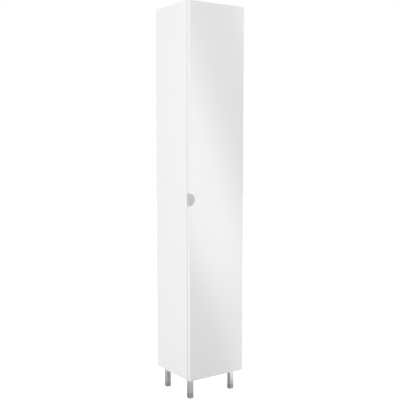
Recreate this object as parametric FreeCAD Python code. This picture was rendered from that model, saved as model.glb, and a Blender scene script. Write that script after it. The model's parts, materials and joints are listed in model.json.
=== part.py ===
import FreeCAD, Part
import math
import os

# Broom cupboard: tall slim carcass on four square legs, one full-height overlay door.
# Millimetres. +X is the hinge side, -Y is the front, +Z is up, the floor is Z = 0.
# The origin is the middle of the overall footprint, at floor level.

# ---- overall sizes -------------------------------------------------------------------
WIDTH = 300.0
DEPTH = 283.0
HEIGHT = 1785.0
LEG_HEIGHT = 95.0

# ---- boards --------------------------------------------------------------------------
BOARD = 18.0
DOOR_THICKNESS = 19.0
DOOR_GAP = 2.0
DOOR_REVEAL = 1.0
DOOR_TOP_DROP = 1.5
DOOR_BOTTOM_RISE = 0.5
DOOR_EDGE_RADIUS = 1.5
DOOR_FREE_EDGE_RADIUS = 0.5
BACK_THICKNESS = 3.0
BACK_INSET = 10.0
BACK_GROOVE_DEPTH = 6.0
FIXED_SHELF_DROP = 355.0
LOOSE_SHELF_DROP = 189.0
SHELF_SIDE_GAP = 0.5
SHELF_FRONT_SETBACK = 12.0
BACK_RAIL_HEIGHT = 72.0
BACK_RAIL_DROP = 22.0

# ---- board joints --------------------------------------------------------------------
CAM_RADIUS = 7.5
CAM_SLOT_HALF_LENGTH = 5.25
CAM_HEIGHT = 12.5
CAM_REACH = 34.0
CAM_SETBACKS = (60.0, 180.0)
CAM_BOLT_RADIUS = 3.0
CAM_BOLT_HOLE_RADIUS = 3.6
CAM_THREAD_RADIUS = 2.5
CAM_THREAD_LENGTH = 11.0
CAM_NECK_RADIUS = 2.0
CAM_NECK_LENGTH = 3.5
CAM_HEAD_RADIUS = 3.4
CAM_HEAD_LENGTH = 2.5
CAM_SLOT_WIDTH = 1.6
CAM_SLOT_DEPTH = 2.5
DOWEL_RADIUS = 4.0
DOWEL_LENGTH = 30.0
DOWEL_IN_SIDE = 10.0
DOWEL_SETBACKS = (92.0, 148.0)
RAIL_DOWEL_SPACING = 32.0
NAIL_RADIUS = 0.8
NAIL_LENGTH = 20.0
NAIL_HEAD_RADIUS = 2.2
NAIL_HEAD_HEIGHT = 0.8
NAIL_XS = (-90.0, 0.0, 90.0)

# ---- shelf pins ----------------------------------------------------------------------
PIN_HOLE_PITCH = 32.0
PIN_HOLE_COUNT = 4
PIN_SETBACKS = (49.0, 192.0)
PIN_RADIUS = 2.5
PIN_HOLE_DEPTH = 10.0
PIN_IN_SIDE = 8.0
PIN_STUB = 9.0
PIN_COLLAR_RADIUS = 4.0

# ---- hinges --------------------------------------------------------------------------
HINGE_COUNT = 4
HINGE_END_DISTANCE = 100.0
AXIS_FROM_SIDE = 7.9
AXIS_FROM_CARCASS = 11.0
HINGE_PIN_RADIUS = 1.2
HINGE_PIN_CLEARANCE = 0.05
CUP_RADIUS = 17.5
CUP_WALL = 0.9
CUP_DEPTH = 12.9
CUP_EDGE_DISTANCE = 3.2
CUP_FLANGE = 1.0
CUP_FLANGE_HALF_HEIGHT = 26.0
CUP_FLANGE_INBOARD = 18.0
CUP_FLANGE_CORNER_RADIUS = 6.0
CUP_SCREW_SPACING = 45.0
CUP_SCREW_OFFSET = 9.5
CUP_LUG_THICKNESS = 3.0
CUP_LUG_HALF_WIDTH = 2.0
ARM_NECK_HALF_WIDTH = 3.5
ARM_SIDE_CLEARANCE = 0.5
ARM_EYE_RADIUS = 2.0
ARM_THICKNESS = 2.5
ARM_STRIP_BELOW_AXIS = 1.2
ARM_HALF_WIDTH = 8.0
ARM_RIB_WIDTH = 1.6
ARM_RIB_HEIGHT = 1.5
ARM_LENGTH = 58.0
ARM_SHOULDER = 4.0
PLATE_THICKNESS = 2.4
PLATE_CORNER_RADIUS = 2.0
PLATE_SETBACK = 37.0
PLATE_SCREW_SPACING = 32.0
PLATE_HALF_HEIGHT = 23.0
PLATE_HALF_WIDTH = 8.0
SPINE_HALF_WIDTH = 6.0
SPINE_START = 11.0
SPINE_END = 60.0
ARM_SCREW_SETBACK = 52.0
ARM_SCREW_RADIUS = 2.5
ARM_SCREW_HEAD_RADIUS = 4.2
ARM_SCREW_HEAD_HEIGHT = 2.2
ADJUSTER_SETBACK = 20.0
ADJUSTER_RADIUS = 2.4

# ---- edge pull -----------------------------------------------------------------------
PULL_LEVEL = 0.4856
PULL_RADIUS = 27.5
PULL_SHEET = 1.0
PULL_EDGE_RADIUS = 0.9
PULL_SCREW_SPACING = 34.0
PULL_SCREW_LENGTH = 16.0

# ---- magnetic catch and stops --------------------------------------------------------
CATCH_LEVEL = 0.535
CATCH_HEIGHT = 44.0
CATCH_WIDTH = 13.0
CATCH_DEPTH = 24.0
CATCH_SET_FORWARD = 0.4
CATCH_GAP = 0.4
MAGNET_HEIGHT = 26.0
MAGNET_WIDTH = 7.0
MAGNET_DEPTH = 14.0
CATCH_SCREW_SPACING = 34.0
CATCH_EAR = 5.0
STRIKE_HEIGHT = 40.0
STRIKE_WIDTH = 12.0
STRIKE_THICKNESS = 1.0
STRIKE_CORNER_RADIUS = 3.0
STOP_RADIUS = 4.0
STOP_CLEARANCE = 0.4
STOP_COUNT = 3
STOP_END_DISTANCE = 85.0

# ---- hooks and wall bracket ----------------------------------------------------------
HOOK_XS = (-80.0, 0.0, 80.0)
HOOK_PLATE_WIDTH = 16.0
HOOK_PLATE_HEIGHT = 44.0
HOOK_PLATE_THICKNESS = 2.5
HOOK_PLATE_END_FLAT = 1.0
HOOK_ROD_RADIUS = 3.0
HOOK_REACH = 26.0
HOOK_BEND_RADIUS = 9.0
HOOK_TIP_RISE = 12.0
HOOK_SCREW_SPACING = 30.0
BRACKET_WIDTH = 36.0
BRACKET_LEG = 40.0
BRACKET_SHEET = 2.0
BRACKET_HOLE_RADIUS = 3.0
BRACKET_HOLE_DROP = 24.0
BRACKET_SCREW_SPACING = 20.0

# ---- legs ----------------------------------------------------------------------------
LEG_SIZE = 22.0
LEG_WALL = 1.5
LEG_CORNER_RADIUS = 1.2
LEG_SIDE_SETBACK = 35.0
LEG_FRONT_SETBACK = 28.0
LEG_BACK_SETBACK = 39.0
LEG_PLATE_THICKNESS = 3.0
LEG_PLATE_INBOARD = 41.0
LEG_PLATE_OUTBOARD = 14.0
LEG_PLATE_HALF_DEPTH = 23.0
LEG_PLATE_CORNER_RADIUS = 4.0
LEG_PLATE_SCREWS = ((-33.0, -15.0), (-33.0, 15.0), (0.0, -17.0), (0.0, 17.0))
FOOT_SIZE = LEG_SIZE
FOOT_HEIGHT = 22.0
FOOT_CORNER_RADIUS = 1.4
FOOT_SOLE_RADIUS = 1.2
FOOT_GAP = 0.6
STUD_RADIUS = 4.0
STUD_CLEARANCE = 0.08
STUD_LENGTH = 34.0
INSERT_HEIGHT = 18.0

# ---- screws --------------------------------------------------------------------------
SCREW_RADIUS = 1.75
SCREW_HEAD_RADIUS = 3.5
THIN_HEAD_RADIUS = 3.0
SCREW_LENGTH = 15.0
SHORT_SCREW_LENGTH = 12.0
CUP_SCREW_HEAD_HEIGHT = 1.2
EURO_SCREW_RADIUS = 3.0
EURO_SCREW_HEAD_RADIUS = 4.4
EURO_SCREW_LENGTH = 11.0
HEAD_ROUNDING = 0.45
CROSS_WIDTH = 0.8
CROSS_SPAN = 3.4
CROSS_DEPTH = 1.1


def evenly(count, end_distance):
    """Levels spaced evenly up the carcass, the outer two a set distance from its ends."""
    low = LEG_HEIGHT + end_distance
    step = (HEIGHT - end_distance - low) / (count - 1)
    return tuple(low + index * step for index in range(count))


def carcass_level(fraction):
    return LEG_HEIGHT + fraction * (HEIGHT - LEG_HEIGHT)


# ---- derived positions ---------------------------------------------------------------
HALF_WIDTH = WIDTH / 2.0
INNER_X = HALF_WIDTH - BOARD
PULL_FRONT_Y = -DEPTH / 2.0
DOOR_FRONT_Y = PULL_FRONT_Y + PULL_SHEET
DOOR_BACK_Y = DOOR_FRONT_Y + DOOR_THICKNESS
FRONT_Y = DOOR_BACK_Y + DOOR_GAP
REAR_Y = DEPTH / 2.0
BACK_OUTER_Y = REAR_Y - BACK_INSET
BACK_INNER_Y = BACK_OUTER_Y - BACK_THICKNESS
BASE_Z = LEG_HEIGHT
CEILING_Z = HEIGHT - BOARD
DOOR_EDGE_X = HALF_WIDTH - DOOR_REVEAL
DOOR_BASE_Z = BASE_Z + DOOR_BOTTOM_RISE
DOOR_TOP_Z = HEIGHT - DOOR_TOP_DROP
AXIS_X = HALF_WIDTH - AXIS_FROM_SIDE
AXIS_Y = FRONT_Y - AXIS_FROM_CARCASS
CUP_X = DOOR_EDGE_X - CUP_EDGE_DISTANCE - CUP_RADIUS
CUP_SCREW_X = CUP_X - CUP_SCREW_OFFSET
ARM_OUTER_X = INNER_X - PLATE_THICKNESS
ARM_INNER_X = ARM_OUTER_X - ARM_THICKNESS
FIXED_SHELF_Z = HEIGHT - FIXED_SHELF_DROP
LOOSE_SHELF_Z = HEIGHT - LOOSE_SHELF_DROP
HINGE_ZS = evenly(HINGE_COUNT, HINGE_END_DISTANCE)
STOP_ZS = evenly(STOP_COUNT, STOP_END_DISTANCE)
STOP_HEIGHT = DOOR_GAP - STOP_CLEARANCE
PULL_CENTRE_Z = carcass_level(PULL_LEVEL)
CATCH_Z = carcass_level(CATCH_LEVEL)
RAIL_TOP_Z = FIXED_SHELF_Z - BACK_RAIL_DROP
RAIL_BASE_Z = RAIL_TOP_Z - BACK_RAIL_HEIGHT
RAIL_FRONT_Y = BACK_INNER_Y - BOARD
RAIL_MID_Z = (RAIL_TOP_Z + RAIL_BASE_Z) / 2.0
CATCH_FRONT_Y = FRONT_Y - CATCH_SET_FORWARD
STRIKE_BACK_Y = DOOR_BACK_Y + STRIKE_THICKNESS
MAGNET_FRONT_Y = STRIKE_BACK_Y + CATCH_GAP
CATCH_X = -INNER_X + CATCH_WIDTH / 2.0
LEG_X = HALF_WIDTH - LEG_SIDE_SETBACK
LEG_FRONT_Y = FRONT_Y + LEG_FRONT_SETBACK
LEG_BACK_Y = REAR_Y - LEG_BACK_SETBACK
LEG_TOP_Z = BASE_Z - LEG_PLATE_THICKNESS
LEG_BASE_Z = FOOT_HEIGHT + FOOT_GAP

SAME = 1e-6  # places and directions nearer than this are taken as the same
EAST = FreeCAD.Vector(1, 0, 0)
WEST = FreeCAD.Vector(-1, 0, 0)
SOUTH = FreeCAD.Vector(0, -1, 0)
NORTH = FreeCAD.Vector(0, 1, 0)
UP = FreeCAD.Vector(0, 0, 1)
DOWN = FreeCAD.Vector(0, 0, -1)


def vec(x, y, z):
    return FreeCAD.Vector(x, y, z)


def block(x_range, y_range, z_range):
    """Rectangular solid between three pairs of limits, given in either order."""
    low = vec(min(x_range), min(y_range), min(z_range))
    high = vec(max(x_range), max(y_range), max(z_range))
    size = high - low
    return Part.makeBox(size.x, size.y, size.z, low)


def rod(start, direction, radius, length):
    return Part.makeCylinder(radius, length, start, direction)


def around(middle, half):
    return (middle - half, middle + half)


def fuse_all(shapes):
    return shapes[0].multiFuse(shapes[1:]).removeSplitter()


def cut_all(shape, tools):
    return shape.cut(Part.makeCompound(tools)) if tools else shape


def edges_along(shape, direction):
    """Straight edges of a shape that run along a direction."""
    found = []
    for edge in shape.Edges:
        if not isinstance(edge.Curve, (Part.Line, Part.LineSegment)):
            continue
        run = edge.Vertexes[1].Point - edge.Vertexes[0].Point
        if abs(run.normalize().dot(direction)) > 1.0 - SAME:
            found.append(edge)
    return found


def save(name, shapes):
    """Write one node; a list of solids becomes one group of separate solids."""
    solids = shapes if isinstance(shapes, list) else [shapes]
    shape = Part.makeCompound(solids) if len(solids) > 1 else solids[0]
    shape.exportStep("parts/" + name + ".step")


# ---- screws --------------------------------------------------------------------------
def cross_recess(seat, into, span):
    """Cross-shaped tool that sinks along 'into' from the outer face of a head."""
    across = UP if abs(into.z) < 0.5 else EAST
    other = into.cross(across)
    bars = []
    for long_way, short_way in ((across, other), (other, across)):
        corner = seat - long_way * (span / 2.0) - short_way * (CROSS_WIDTH / 2.0)
        along = long_way * span
        wide = short_way * CROSS_WIDTH
        points = [corner, corner + along, corner + along + wide, corner + wide, corner]
        bars.append(Part.Face(Part.makePolygon(points)).extrude(into * CROSS_DEPTH))
    return bars[0].fuse(bars[1])


def countersunk_screw(face_point, into, radius, head_radius, length):
    """Screw whose flat head is level with the face it is driven into."""
    head_height = head_radius - radius
    head = Part.makeCone(head_radius, radius, head_height, face_point, into)
    shank = rod(face_point, into, radius, length)
    return head.fuse(shank).removeSplitter().cut(cross_recess(face_point, into, CROSS_SPAN))


def countersunk_hole(face_point, into, radius, head_radius, length):
    head = Part.makeCone(head_radius, radius, head_radius - radius, face_point, into)
    return head.fuse(rod(face_point, into, radius, length))


def pan_screw(face_point, into, radius, head_radius, head_height, length):
    """Screw whose round head stands on the face it is driven into."""
    outer = face_point - into * head_height
    head = rod(outer, into, head_radius, head_height)
    rims = [edge for edge in head.Edges if (edge.CenterOfMass - outer).Length < SAME]
    head = head.makeFillet(head_height * HEAD_ROUNDING, rims)
    shank = rod(face_point, into, radius, length)
    return head.fuse(shank).cut(cross_recess(outer, into, CROSS_SPAN))


def wood_screw(face_point, into):
    return countersunk_screw(face_point, into, SCREW_RADIUS, SCREW_HEAD_RADIUS, SCREW_LENGTH)


def wood_screw_hole(face_point, into):
    return countersunk_hole(face_point, into, SCREW_RADIUS, SCREW_HEAD_RADIUS, SCREW_LENGTH)


# ---- where fasteners sit -------------------------------------------------------------
def cam_panels():
    """Each horizontal board held by cams: its middle height and the cam bore direction."""
    return (
        (BASE_Z + BOARD / 2.0, UP),
        (CEILING_Z + BOARD / 2.0, DOWN),
        (FIXED_SHELF_Z + BOARD / 2.0, UP),
    )


def cam_sites():
    sites = []
    for level, into in cam_panels():
        for side in (-1.0, 1.0):
            for setback in CAM_SETBACKS:
                sites.append((side, FRONT_Y + setback, level, into))
    return sites


def dowel_sites():
    sites = []
    for level, _ in cam_panels():
        for side in (-1.0, 1.0):
            for setback in DOWEL_SETBACKS:
                sites.append((side, FRONT_Y + setback, level))
    for side in (-1.0, 1.0):
        for offset in around(RAIL_MID_Z, RAIL_DOWEL_SPACING / 2.0):
            sites.append((side, RAIL_FRONT_Y + BOARD / 2.0, offset))
    return sites


def nail_sites():
    levels = [level for level, _ in cam_panels()] + [RAIL_MID_Z]
    return [vec(x, BACK_OUTER_Y, level) for level in levels for x in NAIL_XS]


def pin_sites():
    return [(side, FRONT_Y + setback) for side in (-1.0, 1.0) for setback in PIN_SETBACKS]


# ---- cam locks, dowels and nails -----------------------------------------------------
def cam_shape(side, y, level, into):
    start = vec(side * (INNER_X - CAM_REACH), y, level - into.z * BOARD / 2.0)
    body = rod(start, into, CAM_RADIUS, CAM_HEIGHT)
    tunnel_start = vec(side * (INNER_X - CAM_REACH - CAM_HEAD_LENGTH), y, level)
    tunnel = rod(tunnel_start, EAST * side, CAM_BOLT_HOLE_RADIUS, CAM_REACH)
    slot_x = around(start.x, CAM_SLOT_HALF_LENGTH)
    slot_y = around(y, CAM_SLOT_WIDTH / 2.0)
    slot = block(slot_x, slot_y, (start.z, start.z + into.z * CAM_SLOT_DEPTH))
    return body.cut(tunnel).cut(slot)


def cam_bore(side, y, level, into):
    """Pocket for the cam and the tunnel for its bolt, in a horizontal board."""
    start = vec(side * (INNER_X - CAM_REACH), y, level - into.z * BOARD / 2.0)
    pocket = rod(start, into, CAM_RADIUS, CAM_HEIGHT)
    tunnel = rod(vec(start.x, y, level), EAST * side, CAM_BOLT_HOLE_RADIUS, CAM_REACH)
    return pocket.fuse(tunnel)


def cam_bolt(side, y, level):
    outward = EAST * side
    face = vec(side * INNER_X, y, level)
    thread = rod(face, outward, CAM_THREAD_RADIUS, CAM_THREAD_LENGTH)
    shaft_length = CAM_REACH - CAM_NECK_LENGTH - CAM_HEAD_LENGTH / 2.0
    shaft = rod(face, outward * -1.0, CAM_BOLT_RADIUS, shaft_length)
    neck_start = face - outward * shaft_length
    neck = rod(neck_start, outward * -1.0, CAM_NECK_RADIUS, CAM_NECK_LENGTH)
    head_start = neck_start - outward * CAM_NECK_LENGTH
    head = rod(head_start, outward * -1.0, CAM_HEAD_RADIUS, CAM_HEAD_LENGTH)
    return fuse_all([thread, shaft, neck, head])


def dowel(side, y, level):
    start = vec(side * (INNER_X + DOWEL_IN_SIDE), y, level)
    return rod(start, WEST * side, DOWEL_RADIUS, DOWEL_LENGTH)


def nail(head_seat):
    head = rod(head_seat, NORTH, NAIL_HEAD_RADIUS, NAIL_HEAD_HEIGHT)
    shank = rod(head_seat, SOUTH, NAIL_RADIUS, NAIL_LENGTH)
    return head.fuse(shank).removeSplitter()


def shelf_pin(side, y):
    face = vec(side * INNER_X, y, LOOSE_SHELF_Z - PIN_RADIUS)
    outward = EAST * side
    buried = rod(face, outward, PIN_RADIUS, PIN_IN_SIDE)
    collar_radius = PIN_COLLAR_RADIUS
    collar = rod(face - outward * SHELF_SIDE_GAP, outward, collar_radius, SHELF_SIDE_GAP)
    stub = rod(face, outward * -1.0, PIN_RADIUS, PIN_STUB)
    return fuse_all([buried, collar, stub])


# ---- carcass boards ------------------------------------------------------------------
def side_board(side):
    """Full-height side with its joint bores, shelf holes and back groove."""
    x_range = (side * INNER_X, side * HALF_WIDTH)
    board = block(x_range, (FRONT_Y, REAR_Y), (BASE_Z, HEIGHT))
    groove_x = (side * INNER_X, side * (INNER_X + BACK_GROOVE_DEPTH))
    tools = [block(groove_x, (BACK_INNER_Y, BACK_OUTER_Y), (BASE_Z, HEIGHT))]
    outward = EAST * side
    for at_side, y, level, _ in cam_sites():
        if at_side == side:
            face = vec(side * INNER_X, y, level)
            tools.append(rod(face, outward, CAM_THREAD_RADIUS, CAM_THREAD_LENGTH))
    tools += [dowel(*site) for site in dowel_sites() if site[0] == side]
    half_rows = (PIN_HOLE_COUNT - 1) / 2.0
    for at_side, y in pin_sites():
        if at_side == side:
            for row in range(PIN_HOLE_COUNT):
                z = LOOSE_SHELF_Z - PIN_RADIUS + (row - half_rows - 0.5) * PIN_HOLE_PITCH
                tools.append(rod(vec(side * INNER_X, y, z), outward, PIN_RADIUS, PIN_HOLE_DEPTH))
    if side > 0.0:
        tools += plate_screws()
    else:
        tools += catch_screw_holes()
    return cut_all(board, tools)


def cross_board(base_z, front_y, half_length):
    return block((-half_length, half_length), (front_y, BACK_INNER_Y), (base_z, base_z + BOARD))


def joined_board(base_z, extra_tools):
    """Horizontal board between the sides, bored for cams, dowels and nails."""
    level = base_z + BOARD / 2.0
    tools = list(extra_tools)
    for side, y, at_level, into in cam_sites():
        if at_level == level:
            tools.append(cam_bore(side, y, at_level, into))
    tools += [dowel(*site) for site in dowel_sites() if site[2] == level]
    tools += [nail(seat) for seat in nail_sites() if seat.z == level]
    return cut_all(cross_board(base_z, FRONT_Y, INNER_X), tools)


def back_board():
    reach = INNER_X + BACK_GROOVE_DEPTH
    board = block((-reach, reach), (BACK_INNER_Y, BACK_OUTER_Y), (BASE_Z, HEIGHT))
    tools = [nail(seat) for seat in nail_sites()]
    tools.append(bracket_hole())
    return cut_all(board, tools)


def back_rail():
    y_range = (RAIL_FRONT_Y, BACK_INNER_Y)
    rail = block((-INNER_X, INNER_X), y_range, (RAIL_BASE_Z, RAIL_TOP_Z))
    tools = [dowel(*site) for site in dowel_sites() if RAIL_BASE_Z < site[2] < RAIL_TOP_Z]
    tools += [nail(seat) for seat in nail_sites() if seat.z == RAIL_MID_Z]
    tools += [wood_screw_hole(seat, NORTH) for seat in hook_screw_seats()]
    return cut_all(rail, tools)


def loose_shelf():
    half = INNER_X - SHELF_SIDE_GAP
    return cross_board(LOOSE_SHELF_Z, FRONT_Y + SHELF_FRONT_SETBACK, half)


# ---- hinges --------------------------------------------------------------------------
def plate_screw_seats():
    seats = []
    for z in HINGE_ZS:
        for seat_z in around(z, PLATE_SCREW_SPACING / 2.0):
            seats.append(vec(ARM_OUTER_X, FRONT_Y + PLATE_SETBACK, seat_z))
    return seats


def plate_screws():
    length = EURO_SCREW_LENGTH + PLATE_THICKNESS
    radii = (EURO_SCREW_RADIUS, EURO_SCREW_HEAD_RADIUS)
    return [countersunk_screw(seat, EAST, *radii, length) for seat in plate_screw_seats()]


def mounting_plate(z):
    """Cross-shaped plate: a spine under the arm and two wings with the screws."""
    x_range = (ARM_OUTER_X, INNER_X)
    spine_y = (FRONT_Y + SPINE_START, FRONT_Y + SPINE_END)
    spine = block(x_range, spine_y, around(z, SPINE_HALF_WIDTH))
    wing_y = around(FRONT_Y + PLATE_SETBACK, PLATE_HALF_WIDTH)
    wings = block(x_range, wing_y, around(z, PLATE_HALF_HEIGHT))
    plate = fuse_all([spine, wings])
    plate = plate.makeFillet(PLATE_CORNER_RADIUS, edges_along(plate, EAST))
    length = EURO_SCREW_LENGTH + PLATE_THICKNESS
    radii = (EURO_SCREW_RADIUS, EURO_SCREW_HEAD_RADIUS)
    tools = []
    for seat_z in around(z, PLATE_SCREW_SPACING / 2.0):
        seat = vec(ARM_OUTER_X, FRONT_Y + PLATE_SETBACK, seat_z)
        tools.append(countersunk_hole(seat, EAST, *radii, length))
    tools.append(arm_screw(z))
    return cut_all(plate, tools)


def arm_screw(z):
    seat = vec(ARM_INNER_X, FRONT_Y + ARM_SCREW_SETBACK, z)
    length = ARM_THICKNESS + PLATE_THICKNESS
    radii = (ARM_SCREW_RADIUS, ARM_SCREW_HEAD_RADIUS)
    return pan_screw(seat, EAST, *radii, ARM_SCREW_HEAD_HEIGHT, length)


def adjusting_screw(z):
    """Set screw through the arm whose tip stands on the mounting plate."""
    start = vec(ARM_INNER_X - ARM_RIB_HEIGHT, FRONT_Y + ADJUSTER_SETBACK, z)
    length = ARM_RIB_HEIGHT + ARM_THICKNESS
    return rod(start, EAST, ADJUSTER_RADIUS, length).cut(cross_recess(start, EAST, CROSS_SPAN))


def hinge_arm(z):
    """Cranked arm: eye on the axis, strip through the cup, channel along the side."""
    neck = around(z, ARM_NECK_HALF_WIDTH)
    wide = around(z, ARM_HALF_WIDTH)
    bottom = vec(AXIS_X, AXIS_Y, z - ARM_NECK_HALF_WIDTH)
    eye = rod(bottom, UP, ARM_EYE_RADIUS, 2.0 * ARM_NECK_HALF_WIDTH)
    strip_rear_y = AXIS_Y + ARM_STRIP_BELOW_AXIS
    strip_front_y = strip_rear_y - ARM_THICKNESS
    strip = block((AXIS_X, ARM_INNER_X), (strip_front_y, strip_rear_y), neck)
    x_range = (ARM_INNER_X, ARM_OUTER_X)
    drop = block(x_range, (strip_front_y, FRONT_Y + ARM_SHOULDER), neck)
    channel_y = (FRONT_Y + ARM_SHOULDER, FRONT_Y + ARM_LENGTH)
    channel = block(x_range, channel_y, wide)
    ribs = []
    for sign in (-1.0, 1.0):
        rib_z = (z + sign * ARM_HALF_WIDTH, z + sign * (ARM_HALF_WIDTH - ARM_RIB_WIDTH))
        rib_x = (ARM_INNER_X - ARM_RIB_HEIGHT, ARM_INNER_X)
        ribs.append(block(rib_x, channel_y, rib_z))
    arm = fuse_all([eye, strip, drop, channel] + ribs)
    bore_radius = HINGE_PIN_RADIUS + HINGE_PIN_CLEARANCE
    bore = rod(bottom, UP, bore_radius, 2.0 * ARM_NECK_HALF_WIDTH)
    adjuster_start = vec(ARM_INNER_X, FRONT_Y + ADJUSTER_SETBACK, z)
    adjuster = rod(adjuster_start, EAST, ADJUSTER_RADIUS, ARM_THICKNESS)
    return cut_all(arm, [bore, adjuster, arm_screw(z)])


def cup_space(z, radius, depth):
    return rod(vec(CUP_X, DOOR_BACK_Y, z), SOUTH, radius, depth)


def cup_screw_seats(z):
    seat_y = DOOR_BACK_Y + CUP_FLANGE
    return [vec(CUP_SCREW_X, seat_y, sz) for sz in around(z, CUP_SCREW_SPACING / 2.0)]


def hinge_cup(z):
    """Round cup let into the door, with a flange on the face and two pin lugs inside."""
    shell = cup_space(z, CUP_RADIUS, CUP_DEPTH)
    flange_y = (DOOR_BACK_Y, DOOR_BACK_Y + CUP_FLANGE)
    flange_x = (CUP_X + CUP_RADIUS, CUP_X - CUP_FLANGE_INBOARD)
    flange = block(flange_x, flange_y, around(z, CUP_FLANGE_HALF_HEIGHT))
    flange = flange.makeFillet(CUP_FLANGE_CORNER_RADIUS, edges_along(flange, SOUTH))
    hollow_start = vec(CUP_X, DOOR_BACK_Y + CUP_FLANGE, z)
    hollow_depth = CUP_DEPTH + CUP_FLANGE - CUP_WALL
    hollow = rod(hollow_start, SOUTH, CUP_RADIUS - CUP_WALL, hollow_depth)
    cup = fuse_all([shell, flange]).cut(hollow)
    floor_y = DOOR_BACK_Y - CUP_DEPTH + CUP_WALL
    lug_near = ARM_NECK_HALF_WIDTH + ARM_SIDE_CLEARANCE
    lug_far = lug_near + CUP_LUG_THICKNESS
    lugs = []
    for sign in (-1.0, 1.0):
        lug_z = (z + sign * lug_near, z + sign * lug_far)
        lug_x = around(AXIS_X, CUP_LUG_HALF_WIDTH)
        lug_y = (floor_y, AXIS_Y)
        lugs.append(block(lug_x, lug_y, lug_z))
        lug_base = vec(AXIS_X, AXIS_Y, min(lug_z))
        lugs.append(rod(lug_base, UP, CUP_LUG_HALF_WIDTH, CUP_LUG_THICKNESS))
    cup = fuse_all([cup] + lugs)
    tools = [hinge_pin(z)]
    tools += [rod(seat, SOUTH, SCREW_RADIUS, CUP_FLANGE) for seat in cup_screw_seats(z)]
    return cut_all(cup, tools)


def hinge_pin(z):
    reach = ARM_NECK_HALF_WIDTH + ARM_SIDE_CLEARANCE + CUP_LUG_THICKNESS
    return rod(vec(AXIS_X, AXIS_Y, z - reach), UP, HINGE_PIN_RADIUS, 2.0 * reach)


def cup_screw(seat):
    radii = (SCREW_RADIUS, SCREW_HEAD_RADIUS)
    return pan_screw(seat, SOUTH, *radii, CUP_SCREW_HEAD_HEIGHT, SHORT_SCREW_LENGTH)


# ---- door and edge pull --------------------------------------------------------------
def is_free_back_edge(edge):
    middle = edge.CenterOfMass
    return abs(middle.x + DOOR_EDGE_X) < SAME and abs(middle.y - DOOR_BACK_Y) < SAME


def door_blank():
    """Slab with rounded edges; the free back edge, which shows beside the gap, is crisper."""
    x_range = (-DOOR_EDGE_X, DOOR_EDGE_X)
    blank = block(x_range, (DOOR_FRONT_Y, DOOR_BACK_Y), (DOOR_BASE_Z, DOOR_TOP_Z))
    upright = [edge for edge in edges_along(blank, UP) if not is_free_back_edge(edge)]
    blank = blank.makeFillet(DOOR_EDGE_RADIUS, upright + edges_along(blank, EAST))
    free_back = [edge for edge in edges_along(blank, UP) if is_free_back_edge(edge)]
    return blank.makeFillet(DOOR_FREE_EDGE_RADIUS, free_back)


def pull_screw_seats():
    middle_y = (DOOR_FRONT_Y + DOOR_BACK_Y) / 2.0
    zs = around(PULL_CENTRE_Z, PULL_SCREW_SPACING / 2.0)
    return [vec(-DOOR_EDGE_X - PULL_SHEET, middle_y, z) for z in zs]


def pull_screws():
    radii = (SCREW_RADIUS, THIN_HEAD_RADIUS)
    return [countersunk_screw(seat, EAST, *radii, PULL_SCREW_LENGTH) for seat in pull_screw_seats()]


def pull_screw_holes():
    radii = (SCREW_RADIUS, THIN_HEAD_RADIUS)
    return [countersunk_hole(seat, EAST, *radii, PULL_SCREW_LENGTH) for seat in pull_screw_seats()]


def edge_pull_blank():
    """Sheet folded round the door's free edge: half disc in front, strip on the edge."""
    outer_x = -DOOR_EDGE_X - PULL_SHEET
    disc_start = vec(outer_x, DOOR_FRONT_Y, PULL_CENTRE_Z)
    disc = rod(disc_start, SOUTH, PULL_RADIUS, PULL_SHEET)
    keep_x = (outer_x, outer_x + PULL_RADIUS)
    keep = block(keep_x, (PULL_FRONT_Y, DOOR_FRONT_Y), around(PULL_CENTRE_Z, PULL_RADIUS))
    half_disc = disc.common(keep)
    strip_y = (PULL_FRONT_Y, DOOR_BACK_Y)
    strip = block((outer_x, -DOOR_EDGE_X), strip_y, around(PULL_CENTRE_Z, PULL_RADIUS))
    return fuse_all([half_disc, strip])


def pull_seat_filler():
    """Square corner under the fold, where the door's own edge is left unrounded."""
    reach = DOOR_EDGE_RADIUS
    x_range = (-DOOR_EDGE_X, -DOOR_EDGE_X + reach)
    y_range = (DOOR_FRONT_Y, DOOR_FRONT_Y + reach)
    return block(x_range, y_range, around(PULL_CENTRE_Z, PULL_RADIUS))


def edge_pull():
    pull = edge_pull_blank()
    fold = []
    for edge in edges_along(pull, UP):
        middle = edge.CenterOfMass
        if abs(middle.y - PULL_FRONT_Y) < SAME and middle.x < -DOOR_EDGE_X:
            fold.append(edge)
    pull = pull.makeFillet(PULL_EDGE_RADIUS, fold)
    return cut_all(pull, pull_screw_holes())


def door_panel():
    tools = []
    for z in HINGE_ZS:
        tools.append(cup_space(z, CUP_RADIUS, CUP_DEPTH))
        tools += [cup_screw(seat) for seat in cup_screw_seats(z)]
    tools += pull_screw_holes()
    tools.append(strike_screw_hole())
    return cut_all(door_blank().fuse(pull_seat_filler()).removeSplitter(), tools)


# ---- magnetic catch and stops --------------------------------------------------------
def catch_screw_seats():
    seats = []
    for z in around(CATCH_Z, CATCH_SCREW_SPACING / 2.0):
        seats.append(vec(-INNER_X + CATCH_EAR, FRONT_Y + CATCH_DEPTH / 2.0, z))
    return seats


def catch_screws():
    return [wood_screw(seat, WEST) for seat in catch_screw_seats()]


def catch_screw_holes():
    return [wood_screw_hole(seat, WEST) for seat in catch_screw_seats()]


def magnet_pocket():
    y_range = (MAGNET_FRONT_Y, MAGNET_FRONT_Y + MAGNET_DEPTH)
    x_range = around(CATCH_X, MAGNET_WIDTH / 2.0)
    return block(x_range, y_range, around(CATCH_Z, MAGNET_HEIGHT / 2.0))


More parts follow.
